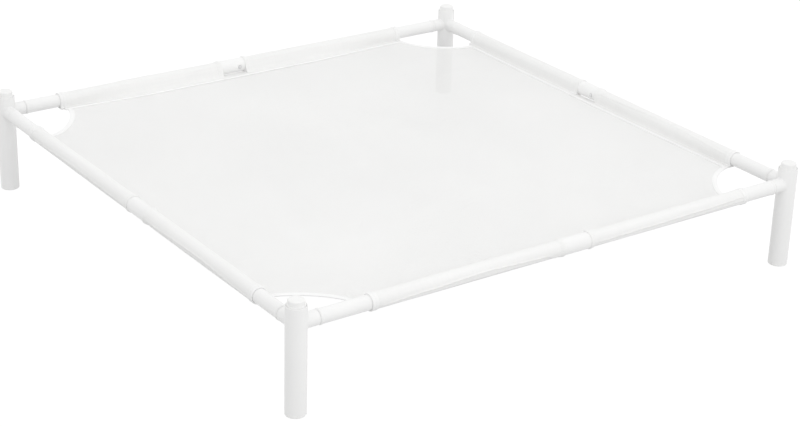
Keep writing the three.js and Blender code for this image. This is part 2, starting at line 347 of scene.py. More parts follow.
def thread(name):
    m = Nodes(name)
    co = m.coords()
    ply = m.noise(co, 2400.0, 2)
    big = m.noise(co, 40.0, 2)
    base = m.ramp(ply, [(0.3, (0.78, 0.78, 0.775)), (0.7, (0.93, 0.93, 0.925))])
    n = m.bump(ply, 0.00008, 0.6)
    m.set(color=base, rough=m.span(big, 0.50, 0.66, 0.3, 0.7), normal=n, sheen=0.3, sheen_rough=0.4)
    return m.mat


M_TUBE = powder_coat("white_powder_coat")
M_COUPLER = powder_coat("white_coupler_coat", light=0.87, rough=(0.30, 0.38), peel=0.00002)
M_PLASTIC = moulded_plastic("white_plastic")
M_BUTTON = metal("zinc_button", 0.82, 0.38)
M_SPRING = metal("spring_steel_strip", 0.55, 0.28, scratch=(0.06, 1, 1))
M_PANEL = mesh_cloth("sling_mesh", "object", True, 0.918, 0.55)
M_SLEEVE = mesh_cloth("sleeve_mesh", "uv", False, 0.897, 0.55)
M_TAPE = tape("binding_tape_white", 0.88)
M_CORNER = tape("corner_binding_white", 0.93)
M_THREAD = thread("sewing_thread")


# ------------------------------------------------------------------ mesh helpers
def build(name, verts, faces, mat, matrix, slot=None, body="frame", replaces=(), angle=32.0, uv=None, recalc=True):
    """verts in mm in a local frame; matrix takes them to the bed's frame, in mm."""
    m = matrix
    me = bpy.data.meshes.new(name)
    me.from_pydata([tuple((m @ Vector(v)) * MM) for v in verts], [], faces)
    if uv is not None:
        layer = me.uv_layers.new(name="flat")
        loops = np.zeros(len(me.loops), dtype=np.int32)
        me.loops.foreach_get("vertex_index", loops)
        layer.data.foreach_set("uv", np.asarray(uv, float)[loops].astype(np.float32).ravel())
    if recalc:
        bm = bmesh.new()
        bm.from_mesh(me)
        bmesh.ops.remove_doubles(bm, verts=bm.verts, dist=1e-7)
        bmesh.ops.recalc_face_normals(bm, faces=bm.faces)
        bm.to_mesh(me)
        bm.free()
    me.polygons.foreach_set("use_smooth", [True] * len(me.polygons))
    me.set_sharp_from_angle(angle=math.radians(angle))
    me.materials.append(mat)
    ob = bpy.data.objects.new(name, me)
    bpy.context.scene.collection.objects.link(ob)
    if body:
        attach(ob, body)
    if replaces:
        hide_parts(*replaces)
    return ob


def fillet(points, radii, closed, seg=5):
    """Rounds the corners of a polyline."""
    out = []
    n = len(points)
    for i, p in enumerate(points):
        r = radii[i]
        if r <= 0 or (not closed and i in (0, n - 1)):
            out.append(tuple(p))
            continue
        p = Vector(p)
        a = Vector(points[(i - 1) % n]) - p
        b = Vector(points[(i + 1) % n]) - p
        la, lb = a.length, b.length
        a.normalize(); b.normalize()
        ang = a.angle(b)
        if ang > math.pi - 1e-3:
            out.append(tuple(p))
            continue
        t = min(r / math.tan(ang / 2), la * 0.48, lb * 0.48)
        r = t * math.tan(ang / 2)
        c = p + (a + b).normalized() * (r / math.sin(ang / 2))
        s, e = p + a * t - c, p + b * t - c
        sweep = s.angle(e)
        for j in range(seg + 1):
            f = j / seg
            v = (s * math.sin((1 - f) * sweep) + e * math.sin(f * sweep)) / math.sin(sweep)
            out.append(tuple(c + v))
    return out


def lathe(profile, n, closed=False, axis="z"):
    """profile: (radius, axial). Open profiles start and end on the axis."""
    verts, faces, rings = [], [], []
    for r, a in profile:
        if r < 1e-6:
            rings.append([len(verts)])
            verts.append((0.0, 0.0, a))
        else:
            rings.append(list(range(len(verts), len(verts) + n)))
            verts += [(r * math.cos(2 * math.pi * i / n), r * math.sin(2 * math.pi * i / n), a) for i in range(n)]
    pairs = list(zip(rings, rings[1:]))
    if closed:
        pairs.append((rings[-1], rings[0]))
    for A, B in pairs:
        for i in range(n):
            j = (i + 1) % n
            if len(A) == 1 and len(B) == 1:
                continue
            if len(A) == 1:
                faces.append((A[0], B[j], B[i]))
            elif len(B) == 1:
                faces.append((A[i], A[j], B[0]))
            else:
                faces.append((A[i], A[j], B[j], B[i]))
    if axis == "x":                  # y inward, z up
        verts = [(z, x, y) for x, y, z in verts]
    elif axis == "y":
        verts = [(y, z, x) for x, y, z in verts]
    return verts, faces


def merge(*parts):
    verts, faces = [], []
    for v, f in parts:
        o = len(verts)
        verts += v
        faces += [tuple(i + o for i in q) for q in f]
    return verts, faces


def stations(a, b, step):
    n = max(1, int(round(abs(b - a) / step)))
    return [a + (b - a) * i / n for i in range(n + 1)]


# ------------------------------------------------------------------ posts
def stub(n=72):
    """Tube stub along +x from a saddle on the post, with a smooth weld fillet, then the swaged spigot."""
    verts, faces, rings = [], [], []

    def ring(fn):
        rings.append(list(range(len(verts), len(verts) + n)))
        for i in range(n):
            ph = 2 * math.pi * i / n
            s, r = fn(ph)
            verts.append((s, r * math.cos(ph), RAIL_Z + r * math.sin(ph)))

    def saddle(r, ph, depth=0.0):
        q = (POST_R - depth) ** 2 - (r * math.cos(ph)) ** 2
        return math.sqrt(max(q, 1.0))

    weld = 2.1
    ring(lambda ph: (saddle(RAIL_RI, ph, 1.0), RAIL_RI))
    ring(lambda ph: (saddle(RAIL_R + weld, ph, 0.7), RAIL_R + weld))
    for j in range(8):
        f = j / 7
        ang = f * math.pi / 2
        e = weld * (1 - math.sin(ang))
        d = weld * (1 - math.cos(ang))
        def fn(ph, e=e, d=d, f=f):
            ripple = 0.10 * math.sin(f * math.pi) * math.sin(30 * ph + 2.0 * math.sin(3 * ph))
            r = RAIL_R + e + ripple
            return saddle(RAIL_R + e, ph) + d, r
        ring(fn)
    for f in (0.3, 0.6, 0.85):
        ring(lambda ph, f=f: ((saddle(RAIL_R, ph) + weld) * (1 - f) + (STUB_END - 1.6) * f, RAIL_R))
    prof = [(RAIL_R, STUB_END - 1.3), (RAIL_R, STUB_END), (SPIGOT_R, STUB_END), (SPIGOT_R, SPIGOT_END), (SPIGOT_RI, SPIGOT_END), (SPIGOT_RI, 22.0)]
    for r, s in fillet(prof, [0, 0.75, 0.2, 0.7, 0.3, 0], False, 5):
        ring(lambda ph, r=r, s=s: (s, r))
    for A, B in list(zip(rings, rings[1:])) + [(rings[-1], rings[0])]:
        for i in range(n):
            j = (i + 1) % n
            faces.append((A[i], A[j], B[j], B[i]))
    return verts, faces


def post():
    z0 = FOOT_H + 0.06
    prof = fillet([(POST_R, z0), (POST_R, POST_TOP), (POST_RI, POST_TOP), (POST_RI, z0)], [0.15, 0.85, 0.5, 0.15], True, 6)
    tube = lathe(prof, 96, closed=True)
    sx = stub()
    sy = ([(-y, x, z) for x, y, z in [(-a, b, c) for a, b, c in sx[0]]], sx[1])
    sy = ([(y, x, z) for x, y, z in sx[0]], [tuple(reversed(f)) for f in sx[1]])
    return merge(tube, sx, sy)


POST_MESH = post()
CAP_MESH = lathe(fillet(
    [(0, POST_TOP - 16), (12.2, POST_TOP - 16), (13.15, POST_TOP - 14), (13.15, POST_TOP + 0.9), (CAP_R + 0.12, POST_TOP + 0.95),
     (CAP_R - 0.05, TOTAL_H - 0.35), (6.0, TOTAL_H - 0.04), (0, TOTAL_H)],
    [0, 0.6, 0.6, 0.45, 0.35, 2.1, 3, 0], False, 7), 80)
FOOT_MESH = lathe(fillet(
    [(0, 0.0), (POST_R, 0.0), (POST_R, FOOT_H), (13.15, FOOT_H), (13.15, 18), (12.2, 20), (0, 20)],
    [0, 2.3, 0.12, 0.1, 0.6, 0.6, 0], False, 7), 96)
for k, c in enumerate(CORNERS):
    m = corner_matrix(k)
    build(f"post_tube_{c}", *POST_MESH, M_TUBE, m, "tube", replaces=[f"post_{c}"])
    build(f"cap_{c}", *CAP_MESH, M_PLASTIC, m, "plastic", replaces=[f"post_cap_{c}"])
    build(f"foot_{c}", *FOOT_MESH, M_PLASTIC, m, "plastic", replaces=[f"foot_plug_{c}"])


# ------------------------------------------------------------------ rails, couplers, buttons
def holed_tube(rings, ri, hole_s=None, hole_r=HOLE_R, n_out=64):
    """A tube along x. rings: (s, outer radius) at each station; the hole is on the inner (+y) side."""
    m = 8
    if hole_s is None:
        outer = [(r, s) for s, r in rings]
        return lathe(outer + [(ri, rings[-1][0]), (ri, rings[0][0])], n_out, closed=True, axis="x")
    ss = [s for s, _ in rings]
    block = [hole_s - 5 + 10 * i / m for i in range(m + 1)]
    ro = rings[len(rings) // 2][1]
    keep = [(s, r) for s, r in rings if s < hole_s - 5.5 or s > hole_s + 5.5]
    stat = sorted(keep + [(s, ro) for s in block])
    i0 = [i for i, (s, _) in enumerate(stat) if abs(s - block[0]) < 1e-6][0]

    def angles(r):
        half = 5 / r
        inside = [-half + 2 * half * i / m for i in range(m + 1)]
        rest = n_out - m
        outside = [half + (2 * math.pi - 2 * half) * i / rest for i in range(1, rest)]
        return inside + outside

    verts, faces = [], []

    def layer(profile, flip):
        r_here = profile[i0][1]
        ang = angles(r_here)
        n = len(ang)
        base = len(verts)
        for s, r in profile:
            for a in ang:
                verts.append((s, r * math.cos(a), r * math.sin(a)))
        grid = lambda i, j: base + i * n + (j % n)
        for i in range(len(profile) - 1):
            for j in range(n):
                if i0 <= i < i0 + m and j < m:
                    continue
                f = (grid(i, j), grid(i, j + 1), grid(i + 1, j + 1), grid(i + 1, j))
                faces.append(f)
        border = [grid(i0, j) for j in range(m)] + [grid(i0 + i, m) for i in range(m)] + \
                 [grid(i0 + m, j) for j in range(m, 0, -1)] + [grid(i0 + i, 0) for i in range(m, 0, -1)]
        flat = []
        for b in border:
            s, y, z = verts[b]
            flat.append((s - hole_s, math.atan2(z, y) * r_here))
        loops = [border]
        for f in (0.4, 0.75, 1.0):
            loop = []
            for (du, dv) in flat:
                d = math.hypot(du, dv)
                hu, hv = du / d * hole_r, dv / d * hole_r
                pu, pv = du + (hu - du) * f, dv + (hv - dv) * f
                a = pv / r_here
                loop.append(len(verts))
                verts.append((hole_s + pu, r_here * math.cos(a), r_here * math.sin(a)))
            loops.append(loop)
        for A, B in zip(loops, loops[1:]):
            for i in range(len(A)):
                j = (i + 1) % len(A)
                faces.append((A[i], A[j], B[j], B[i]))
        first = [grid(0, j) for j in range(n)]
        last = [grid(len(profile) - 1, j) for j in range(n)]
        return loops[-1], first, last

    ho, fo, lo = layer(stat, False)
    hi, fi, li = layer([(s, ri) for s, _ in stat], True)
    for A, B in ((ho, hi), (fo, fi), (lo, li)):
        for i in range(len(A)):
            j = (i + 1) % len(A)
            faces.append((A[i], A[j], B[j], B[i]))
    return verts, faces


def rail_rings(open_end, inner_end):
    d = 1 if inner_end > open_end else -1
    prof = [(RAIL_R - 0.45, 0.0), (RAIL_R, 0.0), (RAIL_R, 0.95), (RAIL_R + 0.62, 1.3), (RAIL_R + 0.62, 3.9), (RAIL_R, 4.6), (RAIL_R, 9)]
    pts = fillet(prof, [0, 0.35, 0.3, 0.5, 0.5, 0.4, 0], False, 4)
    rings = [(open_end + d * a, r) for r, a in pts]
    end = inner_end
    rings += [(s, RAIL_R) for s in stations(open_end + d * 9, end, 24)[1:]]
    return rings if d > 0 else list(reversed(rings))


PLAIN = holed_tube(rail_rings(RAIL_START, BUTT - 0.3), RAIL_RI, BTN_S, HOLE_R, 72)
SOCKET = holed_tube(rail_rings(PITCH - RAIL_START, BUTT + 0.3), RAIL_RI, None, n_out=72)
cp = fillet([(COUP_RI, COUP_A), (COUP_R, COUP_A), (COUP_R, COUP_B), (COUP_RI, COUP_B)], [0.2, 0.75, 0.75, 0.2], False, 6)
coup_rings = [(a, r) for r, a in cp if r > COUP_RI + 0.2]
coup_rings = [q for q in coup_rings if q[0] < COUP_A + 2] + [(s, COUP_R) for s in stations(COUP_A + 3, COUP_B - 3, 3)] + [q for q in coup_rings if q[0] > COUP_B - 2]
COUPLER = holed_tube(coup_rings, COUP_RI, BTN_S, HOLE_R, 88)
BUTTON = lathe(fillet([(0, 6.2), (4.2, 6.2), (4.2, 7.9), (3.1, 7.9), (3.1, 12.9), (2.2, 13.75), (0, 14.0)], [0, 0.3, 0.3, 0.2, 0.8, 1.2, 0], False, 6), 48, axis="y")
BUTTON = ([(x + BTN_S, y, z) for x, y, z in BUTTON[0]], BUTTON[1])



def leaf_spring():
    """A bent strip of steel: a flat leg, a round bend, a rising leg and a flat seat under the button."""
    t, w, x1, x0, bend = 0.7, 6.0, BTN_S + 5, BTN_S - 34, -5.6
    line = [(x, -7.55) for x in stations(x1, x0, 5)]
    line += [(x0 + 1.95 * math.cos(a), bend + 1.95 * math.sin(a)) for a in (-math.pi / 2 - math.pi * i / 10 for i in range(1, 11))]
    line += [(x0 + (BTN_S - 5 - x0) * f, -3.65 + 9.2 * f) for f in (0.15, 0.3, 0.45, 0.6, 0.75, 0.9, 0.97)]
    line += [(BTN_S - 4, 5.55), (BTN_S - 2, 5.55), (BTN_S + 1, 5.55), (x1, 5.55)]
    P = np.array(line)
    T = np.gradient(P, axis=0)
    T /= np.linalg.norm(T, axis=1)[:, None]
    N = np.stack([T[:, 1], -T[:, 0]], 1)
    sec = fillet([(-w / 2, -t / 2), (w / 2, -t / 2), (w / 2, t / 2), (-w / 2, t / 2)], [0.18] * 4, True, 3)
    verts = [(x + n0 * b, y + n1 * b, a) for (x, y), (n0, n1) in zip(P, N) for a, b in sec]
    c = len(sec)
    faces = [(i * c + j, i * c + (j + 1) % c, (i + 1) * c + (j + 1) % c, (i + 1) * c + j) for i in range(len(P) - 1) for j in range(c)]
    faces += [tuple(range(c)), tuple((len(P) - 1) * c + j for j in reversed(range(c)))]
    return verts, faces


SPRING = leaf_spring()
for k, sd in enumerate(SIDES):
    m = side_matrix(k)
    build(f"rail_{sd}_plain", *PLAIN, M_TUBE, m, "tube", replaces=[f"rail_{sd}_plain_half"])
    build(f"rail_{sd}_socket", *SOCKET, M_TUBE, m, "tube", replaces=[f"rail_{sd}_socket_half"])
    build(f"coupler_sleeve_{sd}", *COUPLER, M_COUPLER, m, "coupler", replaces=[f"coupler_{sd}"])
    build(f"button_{sd}_dome", *BUTTON, M_BUTTON, m, "snap_button", body=f"button_{sd}", replaces=[f"snap_button_{sd}"])
    # the spring's far leg lies on the tube wall; the leaf is built without a body and baked where it stands
    leaf = build(f"spring_leaf_{sd}", *SPRING, M_SPRING, m, body=None)
    low, high = m @ Vector((BTN_S, -3.65, 0)), m @ Vector((BTN_S, 5.1, 0))
    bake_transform(leaf)
    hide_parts(f"button_spring_{sd}")


# ------------------------------------------------------------------ sling
def smooth(x, a, b):
    t = min(1.0, max(0.0, (x - a) / (b - a)))
    return t * t * (3 - 2 * t)


def hem_line(s, k):
    """Middle of the sewn hem, inward of the rail axis."""
    middle = smooth(s, 105, 330) * (1 - smooth(s, 610, 800))
    wob = 0.7 * noise.noise(Vector((s / 95.0, 7.3 * k + 1.7, 0.4))) + 0.25 * noise.noise(Vector((s / 22.0, 3.1 * k, 5.4)))
    return (15.4, 15.4, 15.2, 15.4)[k] + (0.8, 3.2, 9.0, 0.8)[k] * middle + wob


CREASES = {
    0: [((117, 200), (200, 184), (300, 168), (400, 184), (436, 232), 0.42),
        ((117, 222), (250, 206), (350, 204), (436, 214), 0.22),
        ((492, 188), (600, 180), (700, 172), (788, 160), 0.34),
        ((492, 214), (640, 206), (788, 188), 0.28),
        ((690, 226), (740, 212), (788, 206), 0.25)],
    1: [((117, 30), (260, 60), (436, 40), 0.25), ((492, 110), (640, 90), (788, 60), 0.22), ((117, 205), (436, 215), 0.3), ((492, 210), (788, 190), 0.3)],
    2: [((117, 60), (280, 92), (436, 58), 0.25), ((492, 70), (650, 105), (788, 70), 0.22), ((117, 208), (436, 196), 0.3), ((492, 190), (788, 212), 0.3)],
    3: [((117, 196), (260, 178), (436, 190), 0.35), ((492, 186), (640, 172), (788, 196), 0.35), ((117, 236), (436, 224), 0.25), ((492, 222), (788, 238), 0.25)],
}


def along(path, s):
    pts = path[:-1]
    if s <= pts[0][0] or s >= pts[-1][0]:
        return None
    for (a, fa), (b, fb) in zip(pts, pts[1:]):
        if a <= s <= b:
            t = smooth(s, a, b)
            return fa + (fb - fa) * t
    return None


def swell(s, ph, k, s0, s1):
    """How far the cloth stands off the rail, beyond a snug fit."""
    e = 0.0
    x = Vector((s / 58.0, math.cos(ph) * 1.3 + 11.0 * k, math.sin(ph) * 1.3))
    e += 0.30 * max(0.0, noise.noise(x) + 0.12)
    x = Vector((s / 17.0, math.cos(ph) * 2.6 + 5.0 * k, math.sin(ph) * 2.6 + 9.0))
    e += 0.09 * noise.noise(x)
    deg = math.degrees(ph) % 360
    for path in CREASES[k]:
        c = along(path, s)
        if c is None:
            continue
        d = (deg - c) * math.pi / 180 * LOOP_R
        if abs(d) > 9:
            continue
        a = 2.9 * path[-1] * smooth(s, path[0][0], path[0][0] + 25) * (1 - smooth(s, path[-2][0] - 12, path[-2][0]) * 0.5)
        e += a * (math.exp(-(d / 1.0) ** 2) - 0.7 * math.exp(-((d - 2.0) / 1.1) ** 2))
    outer_end, inner_end = (s0, s1) if s0 < 300 else (s1, s0)
    e += 0.15 * math.exp(-abs(s - outer_end) / 7.0)
    under = math.exp(-((deg - 270) / 26.0) ** 2)
    e = max(e * (1 - 0.7 * under), -0.12)
    return max(e, 0.0) * (1 - pulled(s, inner_end))


def pulled(s, inner_end):
    """1 where the end of the sleeve is pulled over the coupler's mouth."""
    return 1 - smooth(abs(s - inner_end), 2.6, 9.0)


N_ARC = 72


def loop_path(s, k, s0, s1):
    """The cloth's middle line at station s: [(u, w)], from the hem's inner edge over the rail and back under the panel."""
    q = hem_line(s, k)
    x0, x1 = q + LIP, q - LIP
    d = math.hypot(x1, HEM_TOP)
    base_r = LOOP_R + 1.27 * pulled(s, s1 if s0 < 300 else s0)
    taut = math.atan2(HEM_TOP, x1) + math.acos(min(1.0, base_r / d))
    snug = math.radians(-36)
    ph_t = snug + (taut - snug) * LOOSE[k]
    t = Vector((base_r * math.cos(ph_t), base_r * math.sin(ph_t)))
    way = Vector((math.sin(ph_t), -math.cos(ph_t)))
    c = Vector((x1, HEM_TOP))
    slack = 0.6 * noise.noise(Vector((s / 45.0, 2.2 + k * 3.0, 8.0))) * LOOSE[k]
    b = (t, t + way * (0.5 * (c - t).length), c + Vector((-2.6, 0)), c)
    pts = [(x0, HEM_TOP - 0.36), (x0 - 0.7, HEM_TOP - 0.22), (x0 - 1.8, HEM_TOP - 0.03), (x0 - 3.2, HEM_TOP), (x0 - 5.4, HEM_TOP)]
    for i in range(10):
        f = 1 - i / 10
        p = b[0] * (1 - f) ** 3 + b[1] * (3 * f * (1 - f) ** 2) + b[2] * (3 * f * f * (1 - f)) + b[3] * f ** 3
        pts.append((p.x + slack * math.sin(f * math.pi) ** 2, p.y))
    for i in range(N_ARC + 1):
        ph = ph_t + (1.5 * math.pi - ph_t) * i / N_ARC
        e = swell(s, ph, k, s0, s1) * min(1.0, i / 4.0)
        r = base_r + e
        pts.append((r * math.cos(ph), r * math.sin(ph)))
    low = pts[-1][1]
    for f in (0.2, 0.4, 0.6, 0.8, 1.0):
        pts.append((x0 * f, low + (-(LOOP_R) - 0.12 - low) * smooth(f, 0, 0.6)))
    return pts


def strip(path_list, ss, lo, hi, name, mat, matrix, slot, replaces=(), uv_shift=0.0):
    """A closed shell of cloth between offsets lo and hi of each station's path. lo and hi may be functions of the station."""
    n = len(path_list[0])
    verts, uv, faces = [], [], []
    for s, pts in zip(ss, path_list):
        P = np.array(pts)
        T = np.gradient(P, axis=0)
        T /= np.linalg.norm(T, axis=1)[:, None]
        N = np.stack([T[:, 1], -T[:, 0]], 1)      # outward for a path that runs anticlockwise
        L = np.concatenate([[0], np.cumsum(np.linalg.norm(np.diff(P, axis=0), axis=1))])
        a = lo(s) if callable(lo) else lo
        b = hi(s) if callable(hi) else hi
        for off in (b, a):
            Q = P + N * off
            verts += [(s, u, w) for u, w in Q]
            uv += [(s * MM + uv_shift, l * MM) for l in L]
    block = 2 * n
    for i in range(len(ss) - 1):
        A, B = i * block, (i + 1) * block
        for j in range(n - 1):
            faces.append((A + j, A + j + 1, B + j + 1, B + j))
            faces.append((A + n + j + 1, A + n + j, B + n + j, B + n + j + 1))
        faces.append((A, B, B + n, A + n))
        faces.append((A + n - 1, A + 2 * n - 1, B + 2 * n - 1, B + n - 1))
    for A in (0, (len(ss) - 1) * block):
        for j in range(n - 1):
            faces.append((A + j, A + n + j, A + n + j + 1, A + j + 1))
    return build(name, verts, faces, mat, matrix, slot, replaces=replaces, angle=50, uv=uv)


def ridge(a, b, height, edge):
    """An offset that rises at a, stays at height, and falls at b, with rounded edges."""
    def f(s):
        d = min(s - a, b - s)
        if d <= 0:
            return 0.0
        if d >= edge:
            return height
        x = 1 - d / edge
        return height * math.sqrt(max(0.0, 1 - x * x))
    return f


STITCH = []          # (position, direction, normal) in the bed's frame, in mm, by side


def stitch_row(points, normals, pitch, length, store):
    P = np.array(points)
    seg = np.linalg.norm(np.diff(P, axis=0), axis=1)
    L = np.concatenate([[0], np.cumsum(seg)])
    count = int((L[-1] - 1.0) / pitch)
    N = np.array(normals)
    for i in range(count):
        c = 0.8 + pitch * (i + 0.5)
        pos = np.array([np.interp(c, L, P[:, j]) for j in range(3)])
        a = np.array([np.interp(c - 1, L, P[:, j]) for j in range(3)])
        b = np.array([np.interp(c + 1, L, P[:, j]) for j in range(3)])
        nn = np.array([np.interp(c, L, N[:, j]) for j in range(3)])
        store.append((pos, b - a, nn, length))


def stitch_mesh(rows):
    verts, faces = [], []
    for pos, d, nn, length in rows:
        d = Vector(d).normalized()
        nn = Vector(nn).normalized()
        t = d.cross(nn).normalized()
        nn = t.cross(d)
        p = Vector(pos)
        o = len(verts)
        h = length / 2
        verts.append(tuple(p - d * h - nn * 0.12))
        for f, r in ((-0.72, 0.8), (0.0, 1.0), (0.72, 0.8)):
            for i in range(6):
                a = math.pi * i / 3
                v = p + d * (f * h) + t * (0.36 * r * math.cos(a)) + nn * (0.26 * r * math.sin(a) + 0.08 * (1 - abs(f)))
                verts.append(tuple(v))
        verts.append(tuple(p + d * h - nn * 0.12))
        e = o + 19
        for i in range(6):
            j = (i + 1) % 6
            faces.append((o, o + 1 + j, o + 1 + i))
            for q in (0, 6):
                faces.append((o + 1 + q + i, o + 1 + q + j, o + 7 + q + j, o + 7 + q + i))
            faces.append((o + 13 + i, o + 13 + j, e))
    return verts, faces


def sag(x, y):
    """Height of the panel's middle below its edge plane."""
    fx = max(0.0, 1 - (x / 425.0) ** 2)
    fy = max(0.0, 1 - (y / 425.0) ** 2)
    z = -3.4 * fx ** 0.8 * fy ** 0.8
    edge = min(fx, fy)
    r = 0.32 * noise.noise(Vector((x / 150.0, y / 150.0, 3.3))) + 0.10 * noise.noise(Vector((x / 42.0, y / 42.0, 8.1)))
    # soft tension lines that run in from the corner cuts
    for cx, cy in ((-HALF, -HALF), (HALF, -HALF), (HALF, HALF), (-HALF, HALF)):
        dx, dy = x - cx, y - cy
        d = math.hypot(dx, dy)
        a = math.atan2(abs(dy), abs(dx))
        r += 0.22 * math.cos(a * 22 + cx) * math.exp(-((d - 115) / 60.0) ** 2) * smooth(d, 108, 122)
    return z + r * smooth(edge, 0.0, 0.12)


pieces = {}
for k, sd in enumerate(SIDES):
    m = side_matrix(k)
    store = []
    for (s0, s1), tag in zip(SLEEVES, "ab"):
        outer_end = s0 if s0 < 300 else s1
        ss = sorted(set([round(x, 4) for x in stations(s0, s1, 4.0)] + [s0 + d for d in (0.6, 1.2, 2.2, 4, 6)] + [s1 - d for d in (0.6, 1.2, 2.2, 4, 6)]))
        paths = [loop_path(s, k, s0, s1) for s in ss]
        h = CLOTH_T / 2
        ob = strip(paths, ss, -h, h, f"sewn_sleeve_{sd}_{tag}", M_SLEEVE, m, "mesh_cloth", replaces=[f"sleeve_{sd}_{tag}"])
        # turned end at the coupler
        inner_end = s1 if s0 < 300 else s0
        a, b = (inner_end - 9.0, inner_end - 0.25) if s0 < 300 else (inner_end + 0.25, inner_end + 9.0)
        ss2 = stations(a, b, 0.8)
        paths2 = [loop_path(s, k, s0, s1) for s in ss2]
        f = ridge(a - 0.05, b + 0.05, 0.42, 0.9)
        ob = strip(paths2, ss2, h - 0.06, lambda s, f=f: h + f(s), f"sleeve_hem_{sd}_{tag}", M_SLEEVE, m, "mesh_cloth")
        # binding tape round the open end by the post
        a, b = (s0 - 5.0, s0 + 5.0) if s0 < 300 else (s1 - 5.0, s1 + 5.0)
        ss3 = [a + (b - a) * x for x in (0, .015, .04, .08, .14, .22, .30, .36, .42, .46, .5, .54, .58, .64, .70, .78, .86, .92, .96, .985, 1)]
        lim = lambda s: min(max(s, s0), s1)
        paths3 = [loop_path(lim(s), k, s0, s1)[4:-2] for s in ss3]
        rise = ridge(a - 0.01, b + 0.01, 0.85, 1.5)
        f = lambda s, rise=rise, mid=(a + b) / 2: rise(s) * (1 - 0.38 * math.exp(-((s - mid) / 1.5) ** 2))
        ob = strip(paths3, ss3, lambda s: -h - 0.30, lambda s, f=f: h + 0.12 + f(s), f"end_tape_{sd}_{tag}", M_TAPE, m, "binding_tape")
        for part, at, r_in, g_mat, g_slot in (("end_gusset", s0 - 4.0 if s0 < 300 else s1 + 1.6, RAIL_R + 0.12, M_TAPE, "binding_tape"),
                                              ("mouth_fold", inner_end - 2.45 if s0 < 300 else inner_end + 0.05, COUP_R + 0.06, M_SLEEVE, "mesh_cloth")):
            shape = loop_path(lim(at), k, s0, s1)
            first = 4 + 11
            fl = shape[4:first + 1]
            a_t = math.atan2(shape[first][1], shape[first][0])
            un = [(shape[4][0] * f, min(-LOOP_R - 0.1, -r_in - 0.15)) for f in (0.0, 0.12, 0.25, 0.4, 0.55, 0.7, 0.85, 1.0)]
            outer_run = un + fl[1:]
            n_g = len(outer_run)
            inner_run = []
            for i in range(n_g):
                a = -math.pi / 2 + (a_t + math.pi / 2) * i / (n_g - 1)
                inner_run.append((r_in * math.cos(a), r_in * math.sin(a)))
            gv = [(at + t, u, w) for t in (0.0, 2.4) for run_ in (inner_run, outer_run) for u, w in run_]
            gf = []
            for i in range(n_g - 1):
                a, b, c_, d_ = i, i + n_g, i + 2 * n_g, i + 3 * n_g
                gf += [(a, a + 1, b + 1, b), (c_, d_, d_ + 1, c_ + 1), (a, c_, c_ + 1, a + 1), (b, b + 1, d_ + 1, d_)]
            gf += [(0, n_g, 3 * n_g, 2 * n_g), (n_g - 1, 3 * n_g - 1, 4 * n_g - 1, 2 * n_g - 1)]
            guv = [(u * MM, w * MM) for _, u, w in gv]
            build(f"{part}_{sd}_{tag}", gv, gf, g_mat, m, g_slot, uv=guv, angle=50)
        # stitching: two rows along the hem, top and bottom, and one round each end
        run = [s for s in ss if s0 + 6 < s < s1 - 4] if s0 < 300 else [s for s in ss if s0 + 4 < s < s1 - 6]
        for du in (-1.75, 1.85):
            top = [(s, hem_line(s, k) + du, HEM_TOP + h + (0.34 if du > 0 else 0.0)) for s in run]
            stitch_row([m @ Vector(p) for p in top], [(0, 0, 1)] * len(top), 4.1, 3.0, store)
            low = [(s, hem_line(s, k) + du, -LOOP_R - 0.12 - h) for s in run]
            stitch_row([m @ Vector(p) for p in low], [(0, 0, -1)] * len(low), 4.1, 3.0, store)
        for s_at, off in (((s0 + s1) / 2 + (1 if outer_end == s1 else -1) * ((s1 - s0) / 2 + 0.0), h + 0.12 + 0.56), (inner_end + (-6.4 if s0 < 300 else 6.4), h + 0.40)):
            base = loop_path(lim(s_at), k, s0, s1)
            P = np.array(base)
            T = np.gradient(P, axis=0)
            T /= np.linalg.norm(T, axis=1)[:, None]
            N = np.stack([T[:, 1], -T[:, 0]], 1)
            Q = P + N * off
            rot = m.to_3x3()
            stitch_row([m @ Vector((s_at, u, w)) for u, w in Q[2:-2]], [rot @ Vector((0, a_, b_)) for a_, b_ in N[2:-2]], 4.0, 2.8, store)
    pieces[k] = store


# ------------------------------------------------------------------ corner bindings and panel
def corner_point(k, t, off=0.0):
    """A point on corner k's cut, t from 0 on the side that starts there to 1 on the side that ends there; off outward from the post."""
    a0, a1 = math.radians(7.2), math.radians(90 - 8.2)
    a = a0 + (a1 - a0) * t
    r = 112.5 + (103.0 - 112.5) * smooth(t, 0, 1) + off - 3.2 * math.sin(math.pi * t) ** 2
    return (-HALF + r * math.cos(a), -HALF + r * math.sin(a))


def turn(k, p):
    c, s = (1, 0, -1, 0)[k], (0, 1, 0, -1)[k]
    return (c * p[0] - s * p[1], s * p[0] + c * p[1])


outline = []
for k in range(4):
    # along side k from its own corner to the next, then round the next corner's cut
    e = PANEL_EDGE - HALF
    p0 = corner_point(k, 0.0, 2.5)
    for s in stations(p0[0], HALF - 106.0, 9.0):
        outline.append(turn(k, (s, e)))
    nxt = (k + 1) % 4
    for i in range(29):
        outline.append(turn(nxt, corner_point(nxt, 1 - i / 28, 2.5)))
clean = []
for p in outline:
    if not clean or math.dist(p, clean[-1]) > 0.8:
        clean.append(p)
outline = clean

